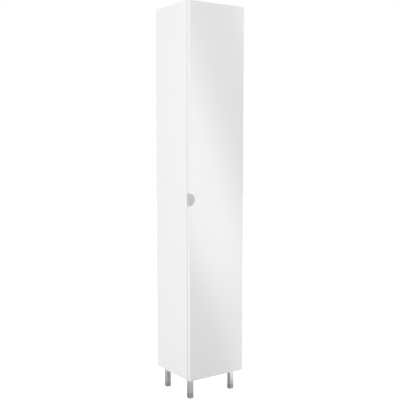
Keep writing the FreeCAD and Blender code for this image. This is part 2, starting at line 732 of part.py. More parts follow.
def catch_housing():
    """Housing on the free side's inner face, thick round the magnet, thin at its ears."""
    y_range = (CATCH_FRONT_Y, FRONT_Y + CATCH_DEPTH)
    body_z = around(CATCH_Z, MAGNET_HEIGHT / 2.0 + 2.0)
    body = block((-INNER_X, -INNER_X + CATCH_WIDTH), y_range, body_z)
    ear_x = (-INNER_X, -INNER_X + CATCH_EAR)
    ears = block(ear_x, (FRONT_Y, FRONT_Y + CATCH_DEPTH), around(CATCH_Z, CATCH_HEIGHT / 2.0))
    housing = fuse_all([body, ears])
    return cut_all(housing, [magnet_pocket()] + catch_screw_holes())


def strike_screw():
    seat = vec(CATCH_X, STRIKE_BACK_Y, CATCH_Z)
    radii = (SCREW_RADIUS, THIN_HEAD_RADIUS)
    return countersunk_screw(seat, SOUTH, *radii, SHORT_SCREW_LENGTH)


def strike_screw_hole():
    seat = vec(CATCH_X, STRIKE_BACK_Y, CATCH_Z)
    radii = (SCREW_RADIUS, THIN_HEAD_RADIUS)
    return countersunk_hole(seat, SOUTH, *radii, SHORT_SCREW_LENGTH)


def strike_plate():
    y_range = (DOOR_BACK_Y, STRIKE_BACK_Y)
    x_range = around(CATCH_X, STRIKE_WIDTH / 2.0)
    plate = block(x_range, y_range, around(CATCH_Z, STRIKE_HEIGHT / 2.0))
    plate = plate.makeFillet(STRIKE_CORNER_RADIUS, edges_along(plate, SOUTH))
    return cut_all(plate, [strike_screw_hole()])


def door_stops():
    x = -(INNER_X + HALF_WIDTH) / 2.0
    return [rod(vec(x, FRONT_Y, z), SOUTH, STOP_RADIUS, STOP_HEIGHT) for z in STOP_ZS]


# ---- hooks and wall bracket ----------------------------------------------------------
def hook_screw_seats():
    seats = []
    for x in HOOK_XS:
        for z in around(RAIL_MID_Z, HOOK_SCREW_SPACING / 2.0):
            seats.append(vec(x, RAIL_FRONT_Y - HOOK_PLATE_THICKNESS, z))
    return seats


def hook(x):
    """Rounded plate with a round bar that runs forward and turns up."""
    face_y = RAIL_FRONT_Y - HOOK_PLATE_THICKNESS
    x_range = around(x, HOOK_PLATE_WIDTH / 2.0)
    z_range = around(RAIL_MID_Z, HOOK_PLATE_HEIGHT / 2.0)
    plate = block(x_range, (RAIL_FRONT_Y, face_y), z_range)
    corner_radius = (HOOK_PLATE_WIDTH - HOOK_PLATE_END_FLAT) / 2.0
    plate = plate.makeFillet(corner_radius, edges_along(plate, SOUTH))
    bend_y = face_y - HOOK_REACH + HOOK_BEND_RADIUS
    start = vec(x, RAIL_FRONT_Y, RAIL_MID_Z)
    bend_start = vec(x, bend_y, RAIL_MID_Z)
    bend_z = RAIL_MID_Z + HOOK_BEND_RADIUS
    half = HOOK_BEND_RADIUS * math.sqrt(0.5)
    bend_middle = vec(x, bend_y - half, bend_z - half)
    bend_end = vec(x, bend_y - HOOK_BEND_RADIUS, bend_z)
    tip = bend_end + UP * HOOK_TIP_RISE
    path = Part.Wire([
        Part.LineSegment(start, bend_start).toShape(),
        Part.Arc(bend_start, bend_middle, bend_end).toShape(),
        Part.LineSegment(bend_end, tip).toShape(),
    ])
    profile = Part.Wire([Part.Circle(start, SOUTH, HOOK_ROD_RADIUS).toShape()])
    bar = path.makePipeShell([profile], True, False)
    ball = Part.makeSphere(HOOK_ROD_RADIUS, tip)
    shape = fuse_all([plate, bar, ball])
    seats = [seat for seat in hook_screw_seats() if seat.x == x]
    return cut_all(shape, [wood_screw_hole(seat, NORTH) for seat in seats])


def bracket_hole():
    start = vec(0.0, BACK_INNER_Y - BRACKET_SHEET, CEILING_Z - BRACKET_HOLE_DROP)
    return rod(start, NORTH, BRACKET_HOLE_RADIUS, BRACKET_SHEET + BACK_THICKNESS)


def bracket_screw_seats():
    y = BACK_INNER_Y - BRACKET_LEG / 2.0
    xs = around(0.0, BRACKET_SCREW_SPACING / 2.0)
    return [vec(x, y, CEILING_Z - BRACKET_SHEET) for x in xs]


def bracket_screws():
    return [wood_screw(seat, UP) for seat in bracket_screw_seats()]


def bracket_screw_holes():
    return [wood_screw_hole(seat, UP) for seat in bracket_screw_seats()]


def wall_bracket():
    x_range = around(0.0, BRACKET_WIDTH / 2.0)
    leg_y = (BACK_INNER_Y - BRACKET_LEG, BACK_INNER_Y)
    flat = block(x_range, leg_y, (CEILING_Z - BRACKET_SHEET, CEILING_Z))
    upright_y = (BACK_INNER_Y - BRACKET_SHEET, BACK_INNER_Y)
    upright = block(x_range, upright_y, (CEILING_Z - BRACKET_LEG, CEILING_Z))
    bracket = fuse_all([flat, upright])
    return cut_all(bracket, bracket_screw_holes() + [bracket_hole()])


# ---- legs ----------------------------------------------------------------------------
def leg_spots():
    spots = {}
    for depth_name, y in (("front", LEG_FRONT_Y), ("back", LEG_BACK_Y)):
        for side_name, side in (("left", -1.0), ("right", 1.0)):
            spots[depth_name + "_" + side_name] = (side, y)
    return spots


def square_bar(side, y, size, z_range, corner_radius):
    bar = block(around(side * LEG_X, size / 2.0), around(y, size / 2.0), z_range)
    return bar.makeFillet(corner_radius, edges_along(bar, UP))


def leg_tube(side, y):
    z_range = (LEG_BASE_Z, LEG_TOP_Z)
    outer = square_bar(side, y, LEG_SIZE, z_range, LEG_CORNER_RADIUS)
    inner_size = LEG_SIZE - 2.0 * LEG_WALL
    inner = block(around(side * LEG_X, inner_size / 2.0), around(y, inner_size / 2.0), z_range)
    return outer.cut(inner)


def leg_insert(side, y):
    """Threaded plug pressed into the foot end of a leg tube."""
    inner_size = LEG_SIZE - 2.0 * LEG_WALL
    z_range = (LEG_BASE_Z, LEG_BASE_Z + INSERT_HEIGHT)
    plug = block(around(side * LEG_X, inner_size / 2.0), around(y, inner_size / 2.0), z_range)
    start = vec(side * LEG_X, y, LEG_BASE_Z)
    return plug.cut(rod(start, UP, STUD_RADIUS + STUD_CLEARANCE, INSERT_HEIGHT))


def leg_plate_seats(side, y):
    seats = []
    for inboard, along in LEG_PLATE_SCREWS:
        seats.append(vec(side * (LEG_X + inboard), y + along, LEG_TOP_Z))
    return seats


def leg_plate(side, y):
    x_range = (side * (LEG_X - LEG_PLATE_INBOARD), side * (LEG_X + LEG_PLATE_OUTBOARD))
    plate = block(x_range, around(y, LEG_PLATE_HALF_DEPTH), (LEG_TOP_Z, BASE_Z))
    plate = plate.makeFillet(LEG_PLATE_CORNER_RADIUS, edges_along(plate, UP))
    return cut_all(plate, [wood_screw_hole(seat, UP) for seat in leg_plate_seats(side, y)])


def foot(side, y):
    """Square foot with its threaded stud; it screws out of the leg to level."""
    block_shape = square_bar(side, y, FOOT_SIZE, (0.0, FOOT_HEIGHT), FOOT_CORNER_RADIUS)
    sole = [edge for edge in block_shape.Edges if edge.BoundBox.ZMax < SAME]
    block_shape = block_shape.makeFillet(FOOT_SOLE_RADIUS, sole)
    stud = rod(vec(side * LEG_X, y, FOOT_HEIGHT), UP, STUD_RADIUS, STUD_LENGTH)
    return block_shape.fuse(stud)


# ---- nodes ---------------------------------------------------------------------------
def save_carcass():
    leg_holes = [wood_screw_hole(seat, UP) for spot in leg_spots().values()
                 for seat in leg_plate_seats(*spot)]
    save("left_side", side_board(-1.0))
    save("right_side", side_board(1.0))
    save("bottom_panel", joined_board(BASE_Z, leg_holes))
    save("top_panel", joined_board(CEILING_Z, bracket_screw_holes()))
    save("fixed_shelf", joined_board(FIXED_SHELF_Z, []))
    save("adjustable_shelf", loose_shelf())
    save("back_panel", back_board())
    save("back_rail", back_rail())
    save("cam_locks", [cam_shape(*site) for site in cam_sites()])
    save("cam_bolts", [cam_bolt(side, y, level) for side, y, level, _ in cam_sites()])
    save("dowels", [dowel(*site) for site in dowel_sites()])
    save("back_panel_nails", [nail(seat) for seat in nail_sites()])
    save("shelf_pins", [shelf_pin(*site) for site in pin_sites()])


def save_fittings():
    save("hooks", [hook(x) for x in HOOK_XS])
    save("hook_screws", [wood_screw(seat, NORTH) for seat in hook_screw_seats()])
    save("wall_bracket", wall_bracket())
    save("wall_bracket_screws", bracket_screws())
    save("catch_housing", catch_housing())
    save("catch_magnet", magnet_pocket())
    save("catch_screws", catch_screws())
    save("door_stops", door_stops())


def save_hinges():
    save("hinge_mounting_plates", [mounting_plate(z) for z in HINGE_ZS])
    save("hinge_plate_screws", plate_screws())
    save("hinge_arms", [hinge_arm(z) for z in HINGE_ZS])
    save("hinge_arm_screws", [arm_screw(z) for z in HINGE_ZS])
    save("hinge_adjusting_screws", [adjusting_screw(z) for z in HINGE_ZS])
    save("hinge_cups", [hinge_cup(z) for z in HINGE_ZS])
    save("hinge_pins", [hinge_pin(z) for z in HINGE_ZS])
    save("hinge_cup_screws", [cup_screw(s) for z in HINGE_ZS for s in cup_screw_seats(z)])


def save_door():
    save("door_panel", door_panel())
    save("edge_pull", edge_pull())
    save("edge_pull_screws", pull_screws())
    save("strike_plate", strike_plate())
    save("strike_plate_screw", strike_screw())


def save_legs():
    spots = leg_spots()
    seats = [seat for spot in spots.values() for seat in leg_plate_seats(*spot)]
    save("leg_plates", [leg_plate(*spot) for spot in spots.values()])
    save("leg_plate_screws", [wood_screw(seat, UP) for seat in seats])
    save("leg_tubes", [leg_tube(*spot) for spot in spots.values()])
    save("leg_inserts", [leg_insert(*spot) for spot in spots.values()])
    for name, spot in spots.items():
        save("foot_" + name, foot(*spot))


os.makedirs("parts", exist_ok=True)
save_carcass()
save_fittings()
save_hinges()
save_door()
save_legs()
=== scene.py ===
import json
import math
from collections import namedtuple
from functools import cache

import bmesh
import bpy
from bpy.props import FloatProperty, FloatVectorProperty, IntProperty, PointerProperty
from mathutils import Matrix, Vector


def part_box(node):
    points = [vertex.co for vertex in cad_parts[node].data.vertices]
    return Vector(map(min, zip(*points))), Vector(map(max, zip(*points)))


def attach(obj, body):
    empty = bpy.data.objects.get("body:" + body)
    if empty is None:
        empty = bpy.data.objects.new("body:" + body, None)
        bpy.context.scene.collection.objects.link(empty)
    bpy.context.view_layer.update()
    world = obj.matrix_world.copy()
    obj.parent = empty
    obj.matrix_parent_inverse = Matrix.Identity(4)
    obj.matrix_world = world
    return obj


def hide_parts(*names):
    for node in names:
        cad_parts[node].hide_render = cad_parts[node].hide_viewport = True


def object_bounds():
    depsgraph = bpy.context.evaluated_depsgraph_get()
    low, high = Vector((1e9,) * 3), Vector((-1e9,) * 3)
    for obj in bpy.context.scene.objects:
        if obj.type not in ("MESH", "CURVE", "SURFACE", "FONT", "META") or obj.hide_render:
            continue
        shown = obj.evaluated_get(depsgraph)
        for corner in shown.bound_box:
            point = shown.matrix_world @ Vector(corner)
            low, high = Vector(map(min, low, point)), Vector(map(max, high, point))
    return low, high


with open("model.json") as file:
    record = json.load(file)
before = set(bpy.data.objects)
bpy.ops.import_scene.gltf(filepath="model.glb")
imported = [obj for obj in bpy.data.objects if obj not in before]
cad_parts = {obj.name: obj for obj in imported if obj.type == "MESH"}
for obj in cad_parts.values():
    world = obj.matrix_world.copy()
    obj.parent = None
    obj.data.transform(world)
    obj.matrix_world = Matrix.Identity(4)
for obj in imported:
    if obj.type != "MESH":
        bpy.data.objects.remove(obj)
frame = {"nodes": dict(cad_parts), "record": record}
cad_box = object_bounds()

bl_info = {
    "name": "Broom cupboard",
    "version": (1, 0, 0),
    "blender": (4, 5, 0),
    "location": "View3D > Sidebar > Cupboard",
    "description": "Finishes a tall slim cupboard on square metal legs",
    "category": "Object",
}

MM = 0.001
OUT = {"+X": Vector((1, 0, 0)), "-X": Vector((-1, 0, 0)), "+Y": Vector((0, 1, 0)),
       "-Y": Vector((0, -1, 0)), "+Z": Vector((0, 0, 1))}

# ---- mesh tolerances -----------------------------------------------------------------
WELD_DISTANCE = 1e-6
SAME_PLACE = 0.01 * MM
SORT_DECIMALS = 5
FLAT_ANGLE = math.radians(0.4)
SHARP_ANGLE = math.radians(40)
SMOOTH_ANGLE = math.radians(35.0)
FLAT_FACE_WEIGHT = 100       # 50 is neutral, 100 lets large faces set the shading

# ---- bought hardware -----------------------------------------------------------------
# A spot is where one driven piece goes: its outer end, its direction, length and radius.
Spot = namedtuple("Spot", "point way length radius", defaults=(0.0, 0.0))
TURN_SEED = 7

# A screw without a pitch takes the thread pitch of the settings.
ScrewKind = namedtuple("ScrewKind", "shank head_height flat_head pitch", defaults=(True, None))
SHEET_SCREW = ScrewKind(shank=1.75 * MM, head_height=1.25 * MM)
BOARD_SCREW = ScrewKind(shank=1.75 * MM, head_height=1.75 * MM)
CUP_SCREW = ScrewKind(shank=1.75 * MM, head_height=1.2 * MM, flat_head=False)
PLATE_SCREW = ScrewKind(shank=3.0 * MM, head_height=1.4 * MM, pitch=2.0 * MM)
ARM_SCREW = ScrewKind(shank=2.5 * MM, head_height=2.2 * MM, flat_head=False, pitch=0.8 * MM)
ADJUSTING_SCREW = ScrewKind(shank=2.4 * MM, head_height=1.2 * MM, pitch=0.8 * MM)

CROWN_SHARE = 0.74           # top of a round head, of the head's radius
SCREW_TIP_RADIUS = 0.15 * MM
SCREW_POINT_LENGTH = 3.0 * MM
SCREW_POINT_SHARE = 0.2      # longest point, of the screw's length
RECESS_SPAN = 3.4 * MM
RECESS_SPAN_SHARE = 1.2      # widest recess, of the head's radius
RECESS_WIDTH = 0.8 * MM
RECESS_DEPTH = 1.1 * MM
RECESS_DEPTH_SHARE = 0.8     # deepest recess, of the head's height
STEPS_PER_TURN = 14
THREAD_SIDES = 4

NAIL_CROWN_SHARE = 0.82      # top of a nail's head, of the head's radius
NAIL_TIP_RADIUS = 0.1 * MM
DOWEL_RINGS = 16
DOWEL_END = 0.49             # end rings lie past this share of the length from the middle
BOLT_CROWN_SHARE = 0.7       # top and root of a cam bolt's head, of the head's radius
BOLT_TIP_SHARE = 0.6         # end of the core, of the core's radius
BOLT_THREAD_SHARE = 0.88     # stretch with a thread, of the core's length

FOOT_BLOCK_HEIGHT = 22.0 * MM
STUD_RADIUS = 4.0 * MM
STUD_PITCH = 1.25 * MM
STUD_THREAD_HEIGHT = 0.45 * MM
STUD_THREAD_START = 0.6 * MM
STUD_THREAD_END = 1.0 * MM

# ---- studio --------------------------------------------------------------------------
WORLD_LEVEL = 0.66
FLOOR_HALF = 9.0
FLOOR_GREY = 0.8
FLOOR_GLOW = 0.66
FLOOR_FADE = (0.26, 0.5)     # metal stops reflecting the floor between these distances

STRIP_ALONG = (-0.371, 0, 0.928)
STRIP_ACROSS = (0.928, 0, 0.371)
NEAR_STRIP = (1.4155, -2.14, 0.536)
FAR_STRIP = (2.6155, -2.14, 0.536)

SIDE_LAMP_TURN = math.radians(64)    # from -Y towards -X
SIDE_LAMP_HEIGHT = 1.3
SIDE_LAMP_DISTANCE = 4.0
BEHIND_LAMP = (1.3, 2.0, 3.0)
BEHIND_ACROSS = (-0.838, 0.545, 0)
BEHIND_ALONG = (-0.27, -0.42, 0.87)

SENSOR_WIDTH = 36.0
LENS = 63.118
LENS_SHIFT = -0.015
SIGHT_LIMIT = 60.0
CAMERA_PLACE = (-1.8562, -2.7088, 1.1633)
CAMERA_DOWN = math.radians(4.113)
CAMERA_RIGHT = math.radians(34.455)


# ---- settings ------------------------------------------------------------------------
class CupboardSizes(bpy.types.PropertyGroup):
    """Edge and hardware sizes that only change how the cupboard looks."""

    board_edge: FloatProperty(
        name="Board edge", description="Rounding of the edge banding on each board",
        default=0.5 * MM, min=0.0, unit="LENGTH", precision=5)
    door_edge: FloatProperty(
        name="Door edge", description="Rounding of the door's corners under the lacquer",
        default=0.3 * MM, min=0.0, unit="LENGTH", precision=5)
    metal_edge: FloatProperty(
        name="Metal edge", description="Rounding of cut and folded metal edges",
        default=0.3 * MM, min=0.0, unit="LENGTH", precision=5)
    thread_pitch: FloatProperty(
        name="Thread pitch", description="Distance between the screw threads",
        default=1.4 * MM, min=0.5 * MM, unit="LENGTH", precision=5)
    thread_height: FloatProperty(
        name="Thread height", description="How far a screw thread stands out",
        default=0.25 * MM, min=0.0, unit="LENGTH", precision=5)
    round_steps: IntProperty(
        name="Round steps", description="Sides of each turned piece of hardware",
        default=24, min=8, max=64)


class CupboardColours(bpy.types.PropertyGroup):
    """Colours of the cupboard's finishes."""

    lacquer: FloatVectorProperty(
        name="Lacquer", description="Gloss lacquer on the door", subtype="COLOR",
        size=3, min=0.0, max=1.0, default=(0.85, 0.85, 0.85))
    board: FloatVectorProperty(
        name="Board", description="White faced board", subtype="COLOR",
        size=3, min=0.0, max=1.0, default=(0.86, 0.86, 0.86))
    back: FloatVectorProperty(
        name="Back", description="White faced hardboard", subtype="COLOR",
        size=3, min=0.0, max=1.0, default=(0.80, 0.80, 0.79))
    brushed: FloatVectorProperty(
        name="Brushed metal", description="Legs and edge pull", subtype="COLOR",
        size=3, min=0.0, max=1.0, default=(0.58, 0.58, 0.58))
    foot: FloatVectorProperty(
        name="Foot metal", description="Levelling feet", subtype="COLOR",
        size=3, min=0.0, max=1.0, default=(0.46, 0.46, 0.46))
    plated: FloatVectorProperty(
        name="Plating", description="Nickel and zinc plated hardware", subtype="COLOR",
        size=3, min=0.0, max=1.0, default=(0.66, 0.66, 0.65))


def sizes():
    """The sizes in use."""
    return bpy.context.scene.cupboard_sizes


def colours():
    """The colours in use."""
    return bpy.context.scene.cupboard_colours


# ---- materials -----------------------------------------------------------------------
NOISE_MIDDLE = (0.3, 0.7)
ZINC_SHADE = 0.97            # zinc plating, of the nickel colour


def map_range(tree, value, taken, given):
    """Maps one range of numbers to another, both as (low, high)."""
    ramp = tree.nodes.new("ShaderNodeMapRange")
    ramp.inputs["From Min"].default_value, ramp.inputs["From Max"].default_value = taken
    ramp.inputs["To Min"].default_value, ramp.inputs["To Max"].default_value = given
    tree.links.new(value, ramp.inputs["Value"])
    return ramp.outputs["Result"]


def calculated(tree, operation, first, second):
    """Result of a maths node on two values of a material or of the world."""
    node = tree.nodes.new("ShaderNodeMath")
    node.operation = operation
    tree.links.new(first, node.inputs[0])
    tree.links.new(second, node.inputs[1])
    return node.outputs[0]


class Finish:
    """A node material under construction."""

    def __init__(self, name, colour, roughness, metallic=0.0):
        self.material = bpy.data.materials.new(name)
        self.material.use_nodes = True
        self.tree = self.material.node_tree
        self.nodes = self.tree.nodes
        self.links = self.tree.links
        self.shader = self.nodes["Principled BSDF"]
        self.colour = (*colour, 1.0)
        self.shader.inputs["Base Color"].default_value = self.colour
        self.shader.inputs["Roughness"].default_value = roughness
        self.shader.inputs["Metallic"].default_value = metallic
        self.place = self.nodes.new("ShaderNodeTexCoord").outputs["Object"]

    def noise(self, scale, detail=3.0):
        """Noise over object coordinates; scale is one number or one per axis."""
        stretch = self.nodes.new("ShaderNodeMapping")
        per_axis = scale if isinstance(scale, tuple) else (scale, scale, scale)
        stretch.inputs["Scale"].default_value = per_axis
        self.links.new(self.place, stretch.inputs["Vector"])
        noise = self.nodes.new("ShaderNodeTexNoise")
        noise.inputs["Scale"].default_value = 1.0
        noise.inputs["Detail"].default_value = detail
        self.links.new(stretch.outputs["Vector"], noise.inputs["Vector"])
        return noise.outputs["Fac"]

    def spread(self, value, low, high):
        """Maps the middle of a noise to low..high."""
        return map_range(self.tree, value, NOISE_MIDDLE, (low, high))

    def tint(self, value, low, high):
        """Colour varies between two multiples of the base colour."""
        mix = self.nodes.new("ShaderNodeMix")
        mix.data_type = "RGBA"
        mix.inputs["A"].default_value = (*[c * low for c in self.colour[:3]], 1.0)
        mix.inputs["B"].default_value = (*[min(1.0, c * high) for c in self.colour[:3]], 1.0)
        self.links.new(self.spread(value, 0.0, 1.0), mix.inputs["Factor"])
        self.links.new(mix.outputs["Result"], self.shader.inputs["Base Color"])
        return self

    def rough(self, value, low, high):
        """Roughness varies between two values."""
        self.links.new(self.spread(value, low, high), self.shader.inputs["Roughness"])
        return self

    def bump(self, value, depth, strength):
        """Small height differences, on top of any that are there already."""
        bump = self.nodes.new("ShaderNodeBump")
        bump.inputs["Strength"].default_value = strength
        bump.inputs["Distance"].default_value = depth
        self.links.new(value, bump.inputs["Height"])
        normal = self.shader.inputs["Normal"]
        if normal.is_linked:
            self.links.new(normal.links[0].from_socket, bump.inputs["Normal"])
        self.links.new(bump.outputs["Normal"], normal)
        return self


def gloss_lacquer():
    """Sprayed lacquer: even colour, a soft gloss and a slight orange peel."""
    finish = Finish("gloss_lacquer", colours().lacquer, roughness=0.22)
    finish.shader.inputs["Coat Weight"].default_value = 0.4
    finish.shader.inputs["Coat Roughness"].default_value = 0.16
    finish.tint(finish.noise(3.0), low=0.992, high=1.0)
    return finish.bump(finish.noise(260.0, detail=2.0), depth=0.02 * MM, strength=0.25).material


def white_board():
    """Melamine faced board with a fine satin grain."""
    finish = Finish("white_board", colours().board, roughness=0.42)
    finish.tint(finish.noise(4.0), low=0.99, high=1.0)
    finish.rough(finish.noise(900.0), low=0.38, high=0.46)
    return finish.bump(finish.noise(1400.0, detail=2.0), depth=0.03 * MM, strength=0.3).material


def white_hardboard():
    """Painted hardboard, a little duller and coarser than the boards."""
    finish = Finish("white_hardboard", colours().back, roughness=0.5)
    finish.tint(finish.noise(7.0), low=0.98, high=1.0)
    return finish.bump(finish.noise(700.0, detail=4.0), depth=0.05 * MM, strength=0.4).material


def brushed(name, colour, along, roughness):
    """Metal rubbed along one axis, with fine streaks in colour, gloss and height."""
    finish = Finish(name, colour, roughness, metallic=1.0)
    fine = tuple(10.0 if axis == along else 2600.0 for axis in "XYZ")
    coarse = tuple(2.5 if axis == along else 500.0 for axis in "XYZ")
    finish.tint(finish.noise(coarse, detail=2.0), low=0.94, high=1.03)
    finish.rough(finish.noise(fine), low=roughness * 0.85, high=roughness * 1.2)
    return finish.bump(finish.noise(fine), depth=0.01 * MM, strength=0.35).material


def plated(name, colour, roughness):
    """Bright plated metal with faint clouds."""
    finish = Finish(name, colour, roughness, metallic=1.0)
    finish.tint(finish.noise(60.0), low=0.95, high=1.02)
    finish.rough(finish.noise(400.0), low=roughness * 0.8, high=roughness * 1.3)
    return finish.bump(finish.noise(900.0), depth=0.01 * MM, strength=0.3).material


def cast_zinc():
    """Grey casting with a grainy skin."""
    finish = Finish("cast_zinc", (0.52, 0.53, 0.54), roughness=0.45, metallic=1.0)
    finish.tint(finish.noise(300.0, detail=5.0), low=0.85, high=1.05)
    return finish.bump(finish.noise(1500.0, detail=4.0), depth=0.05 * MM, strength=0.5).material


def beech():
    """Turned beech with its grain along X."""
    finish = Finish("beech", (0.62, 0.44, 0.27), roughness=0.6)
    finish.tint(finish.noise((40.0, 900.0, 900.0), detail=4.0), low=0.75, high=1.15)
    pores = finish.noise((60.0, 1500.0, 1500.0))
    return finish.bump(pores, depth=0.05 * MM, strength=0.5).material


def moulded(name, colour, roughness):
    """Moulded plastic with a fine spark-eroded texture."""
    finish = Finish(name, colour, roughness)
    finish.tint(finish.noise(30.0), low=0.97, high=1.0)
    return finish.bump(finish.noise(1800.0), depth=0.03 * MM, strength=0.4).material


def clear_rubber():
    """Soft translucent bumper."""
    finish = Finish("clear_rubber", (0.78, 0.78, 0.76), roughness=0.35)
    finish.shader.inputs["Transmission Weight"].default_value = 0.35
    finish.shader.inputs["Subsurface Weight"].default_value = 0.2
    finish.tint(finish.noise(200.0), low=0.96, high=1.0)
    return finish.bump(finish.noise(900.0), depth=0.02 * MM, strength=0.3).material


def ferrite():
    """Ground magnet, near black."""
    finish = Finish("ferrite", (0.09, 0.09, 0.095), roughness=0.55)
    finish.tint(finish.noise(500.0, detail=5.0), low=0.8, high=1.2)
    return finish.bump(finish.noise(1200.0, detail=4.0), depth=0.04 * MM, strength=0.5).material


@cache
def finishes():
    """Every material slot of the record, made once."""
    chosen = colours()
    zinc = tuple(part * ZINC_SHADE for part in chosen.plated)
    return {
        "gloss_lacquer": gloss_lacquer(),
        "white_board": white_board(),
        "white_hardboard": white_hardboard(),
        "brushed_metal": brushed("brushed_metal", chosen.brushed, along="Z", roughness=0.34),
        "foot_metal": brushed("foot_metal", chosen.foot, along="X", roughness=0.4),
        "hook_metal": brushed("hook_metal", chosen.brushed, along="Z", roughness=0.3),
        "nickel_plate": plated("nickel_plate", chosen.plated, roughness=0.2),
        "zinc_plate": plated("zinc_plate", zinc, roughness=0.32),
        "cast_zinc": cast_zinc(),
        "beech": beech(),
        "white_plastic": moulded("white_plastic", (0.80, 0.80, 0.79), roughness=0.45),
        "black_plastic": moulded("black_plastic", (0.035, 0.035, 0.035), roughness=0.5),
        "clear_rubber": clear_rubber(),
        "magnet": ferrite(),
    }


# ---- mesh helpers --------------------------------------------------------------------
def new_object(name, mesh):
    """Adds a mesh to the scene, at the origin."""
    obj = bpy.data.objects.new(name, mesh)
    bpy.context.scene.collection.objects.link(obj)
    return obj


def body_of_node(node):
    """The moving or fixed body that a CAD node belongs to."""
    for body, members in frame["record"]["behaviour"]["bodies"].items():
        if node in members:
            return body
    raise ValueError(node + " is in no body")


def slot_of_node(node):
    """The material slot that the record gives a CAD node."""
    for part in frame["record"]["subparts"]:
        if part["node"] == node:
            return part["material_slot"]
    raise ValueError(node + " has no material slot")


def stands_for(obj, node):
    """Gives a piece its CAD node's material, hides that node and hangs the piece on its body.
    """
    slot_name = slot_of_node(node)
    obj.data.materials.clear()
    obj.data.materials.append(finishes()[slot_name])
    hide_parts(node)
    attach(obj, body_of_node(node))
    return obj


def smooth(mesh):
    """Shades a mesh smoothly, apart from its creases."""
    mesh.polygons.foreach_set("use_smooth", [True] * len(mesh.polygons))
    mesh.set_sharp_from_angle(angle=SMOOTH_ANGLE)
    mesh.update()


def apply_modifiers(obj):
    """Turns an object and its modifiers into one plain mesh."""
    graph = bpy.context.evaluated_depsgraph_get()
    mesh = bpy.data.meshes.new_from_object(obj.evaluated_get(graph))
    old = obj.data
    obj.modifiers.clear()
    obj.data = mesh
    bpy.data.meshes.remove(old)
    return obj


def even_shading(obj):
    """Keeps flat faces evenly shaded beside their rounded edges."""
    smooth(obj.data)
    weighted = obj.modifiers.new("shading", "WEIGHTED_NORMAL")
    weighted.keep_sharp = True
    weighted.weight = FLAT_FACE_WEIGHT
    return apply_modifiers(obj)


def welded(node):
    """A copy of a CAD node with its loose triangles joined."""
    bm = bmesh.new()
    bm.from_mesh(frame["nodes"][node].data)
    bmesh.ops.remove_doubles(bm, verts=bm.verts, dist=WELD_DISTANCE)
    return bm


def flat_faced(node):
    """A closed copy of a CAD node with one face for each of its flat sides."""
    bm = welded(node)
    bmesh.ops.dissolve_limit(bm, angle_limit=FLAT_ANGLE, verts=bm.verts, edges=bm.edges)
    return bm


def rounded(obj, bm, width, shortest, segments):
    """Rounds the sharp edges longer than 'shortest' of a mesh under construction."""
    weight = bm.edges.layers.float.new("bevel_weight_edge")
    for edge in bm.edges:
        sharp = len(edge.link_faces) == 2 and edge.calc_face_angle() > SHARP_ANGLE
        if sharp and edge.calc_length() > shortest:
            edge[weight] = 1.0
    bm.to_mesh(obj.data)
    bm.free()
    bevel = obj.modifiers.new("edge", "BEVEL")
    bevel.limit_method = "WEIGHT"
    bevel.width = width
    bevel.segments = segments
    bevel.use_clamp_overlap = True
    return apply_modifiers(obj)


def eased(node, piece, width, shortest=12 * MM, segments=2):
    """The node's own shape with its sharp edges slightly rounded."""
    obj = new_object(piece, bpy.data.meshes.new(piece))
    rounded(obj, flat_faced(node), width, shortest, segments)
    low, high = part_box(node)
    for vert in obj.data.vertices:
        vert.co = [min(max(vert.co[i], low[i]), high[i]) for i in range(3)]
    return stands_for(even_shading(obj), node)


def connected(start, left):
    """Every vertex joined to the first one; each is taken out of those left."""
    stack = [start]
    group = [start]
    while stack:
        for edge in stack.pop().link_edges:
            for vert in left.intersection(edge.verts):
                left.remove(vert)
                stack.append(vert)
                group.append(vert)
    return group


def solids(node):
    """Lowest and highest corner of each separate solid of a node."""
    bm = welded(node)
    left = set(bm.verts)
    found = []
    while left:
        group = connected(left.pop(), left)
        low = Vector([min(vert.co[i] for vert in group) for i in range(3)])
        high = Vector([max(vert.co[i] for vert in group) for i in range(3)])
        found.append((low, high))
    bm.free()
    return sorted(found, key=lambda pair: tuple(round(c, SORT_DECIMALS) for c in pair[0]))


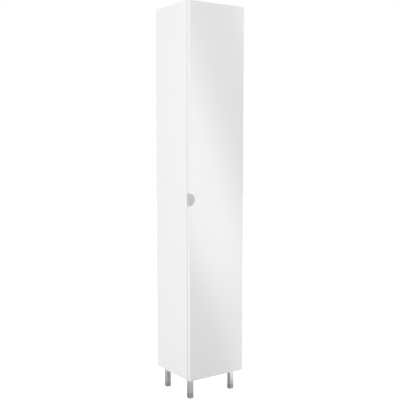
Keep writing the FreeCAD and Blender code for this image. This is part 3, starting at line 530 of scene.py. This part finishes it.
# ---- geometry node trees -------------------------------------------------------------
class Tree:
    """A geometry node tree under construction; its inputs are read by name."""

    def __init__(self, name, *numbers):
        self.group = bpy.data.node_groups.new(name, "GeometryNodeTree")
        sockets = self.group.interface
        sockets.new_socket("Geometry", in_out="INPUT", socket_type="NodeSocketGeometry")
        for number in numbers:
            sockets.new_socket(number, in_out="INPUT", socket_type="NodeSocketFloat")
        sockets.new_socket("Steps", in_out="INPUT", socket_type="NodeSocketInt")
        sockets.new_socket("Seed", in_out="INPUT", socket_type="NodeSocketInt")
        sockets.new_socket("Finish", in_out="INPUT", socket_type="NodeSocketMaterial")
        sockets.new_socket("Geometry", in_out="OUTPUT", socket_type="NodeSocketGeometry")
        self.given = self.group.nodes.new("NodeGroupInput").outputs

    def add(self, kind, inputs, output=0, **settings):
        """Adds a node and returns one of its outputs."""
        node = self.group.nodes.new(kind)
        for key, value in settings.items():
            setattr(node, key, value)
        for key, value in inputs.items():
            for one in value if isinstance(value, list) else [value]:
                if isinstance(one, bpy.types.NodeSocket):
                    self.group.links.new(one, node.inputs[key])
                else:
                    node.inputs[key].default_value = one
        return node.outputs[output]

    def math(self, operation, first, second):
        """Result of a maths node on two numbers or sockets."""
        return self.add("ShaderNodeMath", {0: first, 1: second}, operation=operation)

    def lift(self, geometry, height):
        """Moves geometry along Z."""
        offset = self.add("ShaderNodeCombineXYZ", {"Z": height})
        return self.add("GeometryNodeTransform", {"Geometry": geometry, "Translation": offset})

    def join(self, *geometry):
        """Puts shapes together in the order given."""
        return self.add("GeometryNodeJoinGeometry", {0: list(reversed(geometry))})

    def frustum(self, start, length, radius_start, radius_end):
        """Closed turned section from one height to another."""
        cone = self.add("GeometryNodeMeshCone", {
            "Vertices": self.given["Steps"], "Radius Bottom": radius_start,
            "Radius Top": radius_end, "Depth": length})
        return self.lift(cone, start)

    def thread(self, start, length, crest, height, pitch):
        """Closed helical ridge whose outer edge lies at the crest radius."""
        radius = self.math("SUBTRACT", crest, height)
        turns = self.math("DIVIDE", length, pitch)
        spiral = self.add("GeometryNodeCurveSpiral", {
            "Resolution": STEPS_PER_TURN, "Rotations": turns, "Start Radius": radius,
            "End Radius": radius, "Height": length})
        upright = self.add("GeometryNodeSetCurveNormal", {"Curve": spiral}, mode="Z_UP")
        ridge = self.add("GeometryNodeCurvePrimitiveCircle", {
            "Resolution": THREAD_SIDES, "Radius": height})
        swept = self.add("GeometryNodeCurveToMesh", {
            "Curve": upright, "Profile Curve": ridge, "Fill Caps": True})
        return self.lift(swept, start)

    def place(self, shape):
        """Sets a shape on every point, aimed along the point's 'into' direction."""
        into = self.add(
            "GeometryNodeInputNamedAttribute", {"Name": "into"}, data_type="FLOAT_VECTOR")
        aimed = self.add("FunctionNodeAlignRotationToVector", {"Vector": into}, axis="Z")
        turn = self.add(
            "FunctionNodeRandomValue", {"Max": math.tau, "Seed": self.given["Seed"]}, output=1)
        spin = self.add("ShaderNodeCombineXYZ", {"Z": turn})
        rotation = self.add("FunctionNodeRotateRotation", {
            "Rotation": aimed, "Rotate By": spin}, rotation_space="LOCAL")
        return self.add("GeometryNodeInstanceOnPoints", {
            "Points": self.given["Geometry"], "Instance": shape, "Rotation": rotation})

    def finish(self, geometry):
        """Ends the tree with real geometry in its material."""
        real = self.add("GeometryNodeRealizeInstances", {"Geometry": geometry})
        coated = self.add("GeometryNodeSetMaterial", {
            "Geometry": real, "Material": self.given["Finish"]})
        out = self.group.nodes.new("NodeGroupOutput")
        self.group.links.new(coated, out.inputs["Geometry"])
        return self.group


def cross_cut(tree, head, span, width, depth):
    """Cuts a cross recess into the outer face of a screw head at height 0."""
    double = tree.math("MULTIPLY", depth, 2.0)
    bars = []
    for x, y in ((span, width), (width, span)):
        size = tree.add("ShaderNodeCombineXYZ", {"X": x, "Y": y, "Z": double})
        bars.append(tree.add("GeometryNodeMeshCube", {"Size": size}))
    return tree.add("GeometryNodeMeshBoolean", {"Mesh 1": head, "Mesh 2": bars},
                    operation="DIFFERENCE", solver="EXACT")


@cache
def screw_tree():
    """Head with a cross recess, threaded shank and point; height runs inwards."""
    tree = Tree("driven_screw", "Outer radius", "Head radius", "Head height", "Shank radius",
                "Length", "Point length", "Thread pitch", "Thread height", "Recess span",
                "Recess width", "Recess depth")
    given = tree.given
    crest = given["Shank radius"]
    core = tree.math("SUBTRACT", crest, given["Thread height"])
    head = tree.frustum(0.0, given["Head height"], given["Outer radius"], given["Head radius"])
    head = cross_cut(tree, head, given["Recess span"], given["Recess width"],
                     given["Recess depth"])
    straight_end = tree.math("SUBTRACT", given["Length"], given["Point length"])
    straight = tree.math("SUBTRACT", straight_end, given["Recess depth"])
    shank = tree.frustum(given["Recess depth"], straight, core, core)
    point = tree.frustum(straight_end, given["Point length"], core, SCREW_TIP_RADIUS)
    threaded = tree.math("SUBTRACT", straight_end, given["Head height"])
    thread = tree.thread(given["Head height"], threaded, crest, given["Thread height"],
                         given["Thread pitch"])
    return tree.finish(tree.place(tree.join(head, shank, point, thread)))


def nail_tree():
    """Flat head, plain shank and a point."""
    tree = Tree("panel_nail", "Head radius", "Head height", "Shank radius", "Length",
                "Point length")
    given = tree.given
    rim = tree.math("MULTIPLY", given["Head height"], 0.5)
    outer = tree.math("MULTIPLY", given["Head radius"], NAIL_CROWN_SHARE)
    crown = tree.frustum(0.0, rim, outer, given["Head radius"])
    flange = tree.frustum(rim, rim, given["Head radius"], given["Head radius"])
    straight_end = tree.math("SUBTRACT", given["Length"], given["Point length"])
    straight = tree.math("SUBTRACT", straight_end, rim)
    shank = tree.frustum(rim, straight, given["Shank radius"], given["Shank radius"])
    point = tree.frustum(straight_end, given["Point length"], given["Shank radius"],
                         NAIL_TIP_RADIUS)
    return tree.finish(tree.place(tree.join(crown, flange, shank, point)))


def dowel_tree():
    """Fluted peg with chamfered ends."""
    tree = Tree("fluted_dowel", "Radius", "Length", "Flute depth", "Chamfer")
    given = tree.given
    top = tree.add("ShaderNodeCombineXYZ", {"Z": given["Length"]})
    line = tree.add("GeometryNodeCurvePrimitiveLine", {"Start": (0, 0, 0), "End": top})
    spaced = tree.add("GeometryNodeResampleCurve", {"Curve": line, "Count": DOWEL_RINGS})
    along = tree.add("GeometryNodeSplineParameter", {})
    from_middle = tree.math("ABSOLUTE", tree.math("SUBTRACT", along, 0.5), 0.0)
    at_end = tree.math("GREATER_THAN", from_middle, DOWEL_END)
    shrink = tree.math("MULTIPLY", at_end, given["Chamfer"])
    width = tree.math("SUBTRACT", 1.0, shrink)
    tapered = tree.add("GeometryNodeSetCurveRadius", {"Curve": spaced, "Radius": width})
    root = tree.math("SUBTRACT", given["Radius"], given["Flute depth"])
    star = tree.add("GeometryNodeCurveStar", {
        "Points": given["Steps"], "Inner Radius": root, "Outer Radius": given["Radius"],
        "Twist": 0.0})
    peg = tree.add("GeometryNodeCurveToMesh", {
        "Curve": tapered, "Profile Curve": star, "Fill Caps": True})
    return tree.finish(tree.place(peg))


def cam_bolt_tree():
    """Chipboard thread, shoulder, neck and round head; height runs from the head."""
    tree = Tree("cam_bolt", "Head radius", "Head height", "Neck radius", "Neck length",
                "Shaft radius", "Shaft length", "Thread radius", "Thread length",
                "Thread pitch", "Thread height")
    given = tree.given
    cap = tree.math("MULTIPLY", given["Head height"], 0.5)
    low = tree.math("MULTIPLY", given["Head radius"], BOLT_CROWN_SHARE)
    crown = tree.frustum(0.0, cap, low, given["Head radius"])
    collar = tree.frustum(cap, cap, given["Head radius"], low)
    neck = tree.frustum(cap, tree.math("ADD", given["Neck length"], given["Head height"]),
                        given["Neck radius"], given["Neck radius"])
    shaft_start = tree.math("ADD", given["Head height"], given["Neck length"])
    shaft = tree.frustum(shaft_start, given["Shaft length"], given["Shaft radius"],
                         given["Shaft radius"])
    thread_start = tree.math("ADD", shaft_start, given["Shaft length"])
    core_radius = tree.math("SUBTRACT", given["Thread radius"], given["Thread height"])
    core = tree.frustum(thread_start, given["Thread length"], core_radius,
                        tree.math("MULTIPLY", core_radius, BOLT_TIP_SHARE))
    shorter = tree.math("MULTIPLY", given["Thread length"], BOLT_THREAD_SHARE)
    thread = tree.thread(thread_start, shorter, given["Thread radius"],
                         given["Thread height"], given["Thread pitch"])
    return tree.finish(tree.place(tree.join(crown, collar, neck, shaft, core, thread)))


def stud_thread_tree():
    """Adds a metric thread round a stud; the points give the stud's lower end."""
    tree = Tree("stud_thread", "Crest radius", "Length", "Thread pitch", "Thread height")
    given = tree.given
    thread = tree.thread(0.0, given["Length"], given["Crest radius"], given["Thread height"],
                         given["Thread pitch"])
    return tree.finish(tree.place(thread))


def set_out(piece, node, tree, spots, **sizes_by_name):
    """Runs a tree on the spots of a CAD node and returns the result as a plain mesh."""
    mesh = bpy.data.meshes.new(piece)
    mesh.from_pydata([tuple(spot.point) for spot in spots], [], [])
    into = mesh.attributes.new("into", "FLOAT_VECTOR", "POINT")
    into.data.foreach_set("vector", [c for spot in spots for c in spot.way])
    obj = new_object(piece, mesh)
    modifier = obj.modifiers.new(tree.name, "NODES")
    modifier.node_group = tree
    values = {name.replace("_", " "): value for name, value in sizes_by_name.items()}
    values.update({"Seed": TURN_SEED, "Finish": finishes()[slot_of_node(node)]})
    values.setdefault("Steps", sizes().round_steps)
    for item in tree.interface.items_tree:
        if item.in_out == "INPUT" and item.name != "Geometry":
            modifier[item.identifier] = values.pop(item.name)
    if values:
        raise ValueError(piece + " has no input " + ", ".join(values))
    apply_modifiers(obj)
    smooth(obj.data)
    return obj


def spots_of(node, into):
    """Outer end, direction, length and greatest radius of each driven solid of a node."""
    found = []
    for low, high in solids(node):
        centre = (low + high) / 2.0
        way = into(centre) if callable(into) else into
        size = high - low
        length = sum(abs(size[i] * way[i]) for i in range(3))
        radius = max(size[i] for i in range(3) if not way[i]) / 2.0
        found.append(Spot(centre - way * (length / 2.0), way, length, radius))
    return found


def outward(centre):
    """Towards the side that a point is nearer to."""
    return OUT["+X"] if centre.x > 0.0 else OUT["-X"]


def driven_screws(node, into, kind):
    """Screws of one node: flat heads taper into the shank, round heads swell from it."""
    spots = spots_of(node, into)
    length = spots[0].length
    head = spots[0].radius
    obj = set_out(
        node + "_turned", node, screw_tree(), spots,
        Outer_radius=head if kind.flat_head else head * CROWN_SHARE,
        Head_radius=kind.shank if kind.flat_head else head,
        Head_height=kind.head_height, Shank_radius=kind.shank, Length=length,
        Point_length=min(SCREW_POINT_LENGTH, length * SCREW_POINT_SHARE),
        Thread_pitch=kind.pitch or sizes().thread_pitch, Thread_height=sizes().thread_height,
        Recess_span=min(RECESS_SPAN, head * RECESS_SPAN_SHARE), Recess_width=RECESS_WIDTH,
        Recess_depth=min(RECESS_DEPTH, kind.head_height * RECESS_DEPTH_SHARE))
    return stands_for(obj, node)


# ---- operators -----------------------------------------------------------------------
class CUPBOARD_OT_boards(bpy.types.Operator):
    """Finish the carcass boards with lightly rounded edge banding."""

    bl_idname = "cupboard.boards"
    bl_label = "Carcass boards"

    def execute(self, context):
        for node in ("left_side", "right_side", "top_panel", "bottom_panel",
                     "fixed_shelf", "adjustable_shelf", "back_rail"):
            eased(node, node + "_banded", sizes().board_edge)
        eased("back_panel", "back_panel_sheet", width=0.2 * MM)
        return {"FINISHED"}


class CUPBOARD_OT_door(bpy.types.Operator):
    """Finish the lacquered door: soft upright edges, and crisp pockets for the cups."""

    bl_idname = "cupboard.door"
    bl_label = "Door"

    def execute(self, context):
        eased("door_panel", "lacquered_door", sizes().door_edge, shortest=300 * MM)
        return {"FINISHED"}


class CUPBOARD_OT_edge_pull(bpy.types.Operator):
    """Finish the folded half-round pull on the door's free edge."""

    bl_idname = "cupboard.edge_pull"
    bl_label = "Edge pull"

    def execute(self, context):
        eased("edge_pull", "folded_pull", sizes().metal_edge, shortest=2 * MM, segments=3)
        driven_screws("edge_pull_screws", OUT["+X"], SHEET_SCREW)
        return {"FINISHED"}


class CUPBOARD_OT_hinges(bpy.types.Operator):
    """Finish the concealed hinges and their screws."""

    bl_idname = "cupboard.hinges"
    bl_label = "Hinges"

    def execute(self, context):
        for node in ("hinge_mounting_plates", "hinge_arms"):
            eased(node, node + "_pressed", sizes().metal_edge, shortest=2.5 * MM)
        eased("hinge_cups", "hinge_cups_drawn", width=0.15 * MM, shortest=6 * MM)
        eased("hinge_pins", "hinge_pins_riveted", width=0.25 * MM, shortest=0.0)
        driven_screws("hinge_plate_screws", OUT["+X"], PLATE_SCREW)
        driven_screws("hinge_arm_screws", OUT["+X"], ARM_SCREW)
        driven_screws("hinge_adjusting_screws", OUT["+X"], ADJUSTING_SCREW)
        driven_screws("hinge_cup_screws", OUT["-Y"], CUP_SCREW)
        return {"FINISHED"}


class CUPBOARD_OT_board_joints(bpy.types.Operator):
    """Finish the cams, bolts, dowels, nails and shelf pins that join the boards."""

    bl_idname = "cupboard.board_joints"
    bl_label = "Board joints"

    def execute(self, context):
        eased("cam_locks", "cam_locks_cast", width=0.25 * MM, shortest=3 * MM)
        eased("shelf_pins", "shelf_pins_turned", width=0.15 * MM, shortest=0.0)
        self.bolts()
        self.dowels()
        self.nails()
        return {"FINISHED"}

    def bolts(self):
        spots = spots_of("cam_bolts", outward)
        obj = set_out(
            "cam_bolts_turned", "cam_bolts", cam_bolt_tree(), spots,
            Head_radius=3.4 * MM, Head_height=2.5 * MM, Neck_radius=2.0 * MM,
            Neck_length=3.5 * MM, Shaft_radius=3.0 * MM, Shaft_length=29.25 * MM,
            Thread_radius=2.5 * MM, Thread_length=11.0 * MM, Thread_pitch=2.2 * MM,
            Thread_height=0.5 * MM)
        stands_for(obj, "cam_bolts")

    def dowels(self):
        spots = spots_of("dowels", outward)
        obj = set_out(
            "dowels_fluted", "dowels", dowel_tree(), spots, Radius=spots[0].radius,
            Length=spots[0].length, Flute_depth=0.35 * MM, Chamfer=0.18, Steps=18)
        stands_for(obj, "dowels")

    def nails(self):
        spots = spots_of("back_panel_nails", OUT["-Y"])
        obj = set_out(
            "back_panel_nails_driven", "back_panel_nails", nail_tree(), spots,
            Head_radius=spots[0].radius, Head_height=0.8 * MM, Shank_radius=0.8 * MM,
            Length=spots[0].length, Point_length=2.5 * MM)
        stands_for(obj, "back_panel_nails")


class CUPBOARD_OT_catch(bpy.types.Operator):
    """Finish the magnetic catch, its strike plate and the door stops."""

    bl_idname = "cupboard.catch"
    bl_label = "Catch and stops"

    def execute(self, context):
        eased("catch_housing", "catch_housing_moulded", width=0.6 * MM, shortest=3 * MM)
        eased("catch_magnet", "catch_magnet_ground", width=0.3 * MM, shortest=3 * MM)
        eased("strike_plate", "strike_plate_stamped", width=0.2 * MM, shortest=0.0)
        eased("door_stops", "door_stops_moulded", width=0.6 * MM, shortest=0.0, segments=4)
        driven_screws("catch_screws", OUT["-X"], BOARD_SCREW)
        driven_screws("strike_plate_screw", OUT["-Y"], SHEET_SCREW)
        return {"FINISHED"}


class CUPBOARD_OT_hanging(bpy.types.Operator):
    """Finish the broom hooks and the bracket that ties the cupboard to the wall."""

    bl_idname = "cupboard.hanging"
    bl_label = "Hooks and wall bracket"

    def execute(self, context):
        eased("hooks", "hooks_plated", width=0.5 * MM, shortest=1.5 * MM)
        eased("wall_bracket", "wall_bracket_bent", width=0.4 * MM)
        driven_screws("hook_screws", OUT["+Y"], BOARD_SCREW)
        driven_screws("wall_bracket_screws", OUT["+Z"], BOARD_SCREW)
        return {"FINISHED"}


class CUPBOARD_OT_legs(bpy.types.Operator):
    """Finish the square legs, their plates and plugs."""

    bl_idname = "cupboard.legs"
    bl_label = "Legs"

    def execute(self, context):
        eased("leg_tubes", "leg_tubes_drawn", width=0.25 * MM, shortest=0.0)
        eased("leg_plates", "leg_plates_stamped", sizes().metal_edge, shortest=2.5 * MM)
        eased("leg_inserts", "leg_inserts_moulded", width=0.5 * MM)
        driven_screws("leg_plate_screws", OUT["+Z"], BOARD_SCREW)
        return {"FINISHED"}


class CUPBOARD_OT_feet(bpy.types.Operator):
    """Finish the four levelling feet and cut the threads on their studs."""

    bl_idname = "cupboard.feet"
    bl_label = "Levelling feet"

    def execute(self, context):
        tree = stud_thread_tree()
        for node in ("foot_front_left", "foot_front_right", "foot_back_left",
                     "foot_back_right"):
            low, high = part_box(node)
            axis = (low + high) / 2.0
            foot = self.slim_stud(node, axis)
            self.add_thread(foot, node, tree, axis, high.z)
            stands_for(foot, node)
        return {"FINISHED"}

    def slim_stud(self, node, axis):
        """The foot with eased edges, its stud turned down to the root of its thread."""
        bm = flat_faced(node)
        for vert in bm.verts:
            offset = Vector((vert.co.x - axis.x, vert.co.y - axis.y, 0.0))
            above_block = vert.co.z > FOOT_BLOCK_HEIGHT - SAME_PLACE
            if above_block and offset.length < STUD_RADIUS + SAME_PLACE:
                vert.co -= offset * (STUD_THREAD_HEIGHT / STUD_RADIUS)
        foot = new_object(node + "_turned", bpy.data.meshes.new(node))
        rounded(foot, bm, sizes().metal_edge, shortest=3 * MM, segments=2)
        return even_shading(foot)

    def add_thread(self, foot, node, tree, axis, top):
        """Joins a cut thread to the stud of a foot."""
        start = Vector((axis.x, axis.y, FOOT_BLOCK_HEIGHT + STUD_THREAD_START))
        thread = set_out(
            node + "_thread", node, tree, [Spot(start, OUT["+Z"])],
            Crest_radius=STUD_RADIUS, Length=top - start.z - STUD_THREAD_END,
            Thread_pitch=STUD_PITCH, Thread_height=STUD_THREAD_HEIGHT)
        joined = bmesh.new()
        joined.from_mesh(foot.data)
        joined.from_mesh(thread.data)
        joined.to_mesh(foot.data)
        joined.free()
        bpy.data.objects.remove(thread)
        smooth(foot.data)


class CUPBOARD_OT_stage(bpy.types.Operator):
    """Set the pale floor, soft lamps and camera."""

    bl_idname = "cupboard.stage"
    bl_label = "Stage"

    def execute(self, context):
        white_world(context.scene)
        pale_floor()
        strip_lamps(context.scene)
        fill_lamps(context.scene)
        front_left_camera(context.scene)
        context.scene.view_settings.view_transform = "Standard"
        return {"FINISHED"}


# ---- stage ---------------------------------------------------------------------------
def white_world(scene):
    """White where it is seen directly, in gloss or through glass, greyer as a light."""
    world = bpy.data.worlds.new("studio")
    world.use_nodes = True
    tree = world.node_tree
    background = tree.nodes["Background"]
    background.inputs["Color"].default_value = (1, 1, 1, 1)
    path = tree.nodes.new("ShaderNodeLightPath").outputs
    seen = calculated(tree, "MAXIMUM", path["Is Camera Ray"], path["Is Glossy Ray"])
    seen = calculated(tree, "MAXIMUM", seen, path["Is Transmission Ray"])
    level = map_range(tree, seen, (0.0, 1.0), (WORLD_LEVEL, 1.0))
    tree.links.new(level, background.inputs["Strength"])
    scene.world = world


def floor_paper():
    """White to the camera, plain shaded paper to the metal, and its far part unreflected."""
    material = bpy.data.materials.new("pale_floor")
    material.use_nodes = True
    tree = material.node_tree
    nodes, links = tree.nodes, tree.links
    nodes.remove(nodes["Principled BSDF"])
    path = nodes.new("ShaderNodeLightPath").outputs
    diffuse = nodes.new("ShaderNodeBsdfDiffuse")
    diffuse.inputs["Color"].default_value = (FLOOR_GREY, FLOOR_GREY, FLOOR_GREY, 1)
    glow = nodes.new("ShaderNodeEmission")
    level = map_range(tree, path["Is Camera Ray"], (0.0, 1.0), (0.0, FLOOR_GLOW))
    links.new(level, glow.inputs["Strength"])
    paper = nodes.new("ShaderNodeAddShader")
    links.new(diffuse.outputs["BSDF"], paper.inputs[0])
    links.new(glow.outputs["Emission"], paper.inputs[1])
    distance = nodes.new("ShaderNodeVectorMath")
    distance.operation = "LENGTH"
    links.new(nodes.new("ShaderNodeTexCoord").outputs["Object"], distance.inputs[0])
    far = map_range(tree, distance.outputs["Value"], FLOOR_FADE, (0.0, 1.0))
    clear = nodes.new("ShaderNodeBsdfTransparent")
    mix = nodes.new("ShaderNodeMixShader")
    links.new(calculated(tree, "MULTIPLY", path["Is Glossy Ray"], far), mix.inputs["Fac"])
    links.new(paper.outputs["Shader"], mix.inputs[1])
    links.new(clear.outputs["BSDF"], mix.inputs[2])
    links.new(mix.outputs["Shader"], nodes["Material Output"].inputs["Surface"])
    return material


def pale_floor():
    """A flat square sheet under the cupboard."""
    mesh = bpy.data.meshes.new("floor")
    half = FLOOR_HALF
    corners = [(-half, -half, 0), (half, -half, 0), (half, half, 0), (-half, half, 0)]
    mesh.from_pydata(corners, [], [(0, 1, 2, 3)])
    mesh.materials.append(floor_paper())
    new_object("floor", mesh)


def softbox(scene, name, centre, across, along, size, radiance):
    """Area lamp with its width along 'across' and its length along 'along'."""
    lamp = bpy.data.lights.new(name, "AREA")
    lamp.shape = "RECTANGLE"
    lamp.size, lamp.size_y = size
    lamp.energy = radiance * math.pi * size[0] * size[1]
    obj = bpy.data.objects.new(name, lamp)
    x = Vector(across).normalized()
    y = (Vector(along) - Vector(along).dot(x) * x).normalized()
    turned = Matrix((x, y, x.cross(y))).transposed().to_4x4()
    obj.matrix_world = Matrix.Translation(Vector(centre)) @ turned
    obj.visible_camera = False
    scene.collection.objects.link(obj)
    return obj


def strip_lamps(scene):
    """Two long leaning lamps that show only in gloss, and not at all in the pull."""
    shaded = bpy.data.collections.new("shaded_from_strips")
    shaded.objects.link(bpy.data.objects["folded_pull"])
    shaded.collection_objects[0].light_linking.link_state = "EXCLUDE"
    for name, centre, size, radiance in (("near_strip", NEAR_STRIP, (0.55, 4.6), 3.8),
                                         ("far_strip", FAR_STRIP, (0.5, 4.6), 4.2)):
        strip = softbox(scene, name, centre, STRIP_ACROSS, STRIP_ALONG, size, radiance)
        strip.visible_diffuse = False
        strip.light_linking.receiver_collection = shaded


def fill_lamps(scene):
    """Soft light from beside and behind that gloss does not show."""
    sine = math.sin(SIDE_LAMP_TURN)
    cosine = math.cos(SIDE_LAMP_TURN)
    at_left_side = Vector((cad_box[0][0], 0, SIDE_LAMP_HEIGHT))
    beside = at_left_side + SIDE_LAMP_DISTANCE * Vector((-sine, -cosine, 0))
    fills = (softbox(scene, "side", beside, across=(cosine, -sine, 0), along=(0, 0, 1),
                     size=(2.6, 4.4), radiance=2.7),
             softbox(scene, "behind", BEHIND_LAMP, BEHIND_ACROSS, BEHIND_ALONG,
                     size=(1.8, 1.8), radiance=2.1))
    for fill in fills:
        fill.visible_glossy = False


def front_left_camera(scene):
    """Looks from the front left, tilted slightly down."""
    data = bpy.data.cameras.new("camera")
    data.sensor_width = SENSOR_WIDTH
    data.lens = LENS
    data.shift_y = LENS_SHIFT
    data.clip_end = SIGHT_LIMIT
    camera = bpy.data.objects.new("camera", data)
    camera.location = CAMERA_PLACE
    camera.rotation_euler = (math.pi / 2.0 - CAMERA_DOWN, 0.0, -CAMERA_RIGHT)
    scene.collection.objects.link(camera)
    scene.camera = camera


# ---- panel and registration ----------------------------------------------------------
STEPS = (CUPBOARD_OT_boards, CUPBOARD_OT_door, CUPBOARD_OT_edge_pull, CUPBOARD_OT_hinges,
         CUPBOARD_OT_board_joints, CUPBOARD_OT_catch, CUPBOARD_OT_hanging, CUPBOARD_OT_legs,
         CUPBOARD_OT_feet, CUPBOARD_OT_stage)


class CUPBOARD_PT_build(bpy.types.Panel):
    """Lists the build steps in order."""

    bl_idname = "CUPBOARD_PT_build"
    bl_label = "Broom cupboard"
    bl_space_type = "VIEW_3D"
    bl_region_type = "UI"
    bl_category = "Cupboard"

    def draw(self, context):
        for settings in (context.scene.cupboard_sizes, context.scene.cupboard_colours):
            for name in settings.__annotations__:
                self.layout.prop(settings, name)
        for step in STEPS:
            self.layout.operator(step.bl_idname)


CLASSES = (CupboardSizes, CupboardColours, *STEPS, CUPBOARD_PT_build)


def register():
    """Adds the settings, the build steps and the panel."""
    for cls in CLASSES:
        bpy.utils.register_class(cls)
    bpy.types.Scene.cupboard_sizes = PointerProperty(type=CupboardSizes)
    bpy.types.Scene.cupboard_colours = PointerProperty(type=CupboardColours)


def unregister():
    """Takes the panel, the build steps and the settings out again."""
    del bpy.types.Scene.cupboard_colours
    del bpy.types.Scene.cupboard_sizes
    for cls in reversed(CLASSES):
        bpy.utils.unregister_class(cls)


def main():
    """Runs every build step in order."""
    register()
    for step in STEPS:
        group, name = step.bl_idname.split(".")
        getattr(getattr(bpy.ops, group), name)()


if __name__ == "__main__":
    main()
